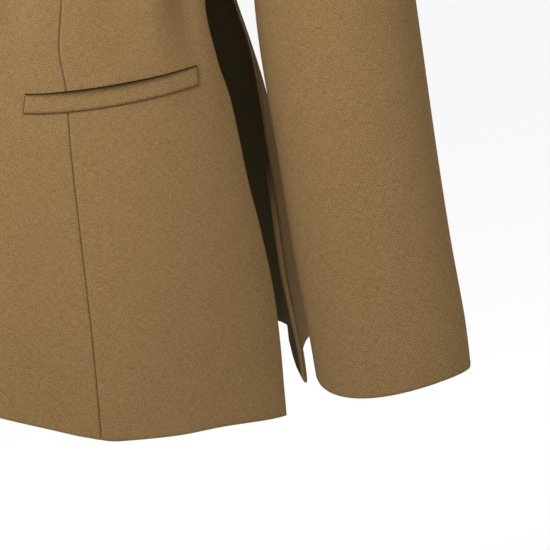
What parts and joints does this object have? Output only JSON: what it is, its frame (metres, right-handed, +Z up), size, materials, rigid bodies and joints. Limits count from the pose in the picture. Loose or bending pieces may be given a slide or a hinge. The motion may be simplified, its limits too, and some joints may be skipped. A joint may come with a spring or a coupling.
{
  "type": "suit jacket",
  "caption": "Single-breasted suit jacket with notched lapels, long wide sleeves, welt pockets and long side vents, filled out as when worn.",
  "frame": {"origin": "midway between the two shoulder neck points, where the wearer's shoulders carry the jacket", "axes": "+X to the wearer's left, -Y to the front, +Z up"},
  "size_m": [0.7976, 0.3333, 0.7427],
  "materials": {
    "suit_cloth": "matte fine worsted",
    "lining_satin": "satin",
    "button_horn": "semi-matte"
  },
  "bodies": {
    "root": {"collar": "suit_cloth", "front_button": "button_horn", "left_front": "suit_cloth", "left_side_front": "suit_cloth", "left_back": "suit_cloth", "left_top_sleeve": "suit_cloth", "left_under_sleeve": "suit_cloth", "left_lapel": "suit_cloth", "left_pocket_welt": "suit_cloth", "left_vent_facing": "suit_cloth", "left_back_lining": "lining_satin", "right_front": "suit_cloth", "right_side_front": "suit_cloth", "right_back": "suit_cloth", "right_top_sleeve": "suit_cloth", "right_under_sleeve": "suit_cloth", "right_lapel": "suit_cloth", "right_pocket_welt": "suit_cloth", "right_vent_facing": "suit_cloth", "right_back_lining": "lining_satin"}
  },
  "joints": []
}
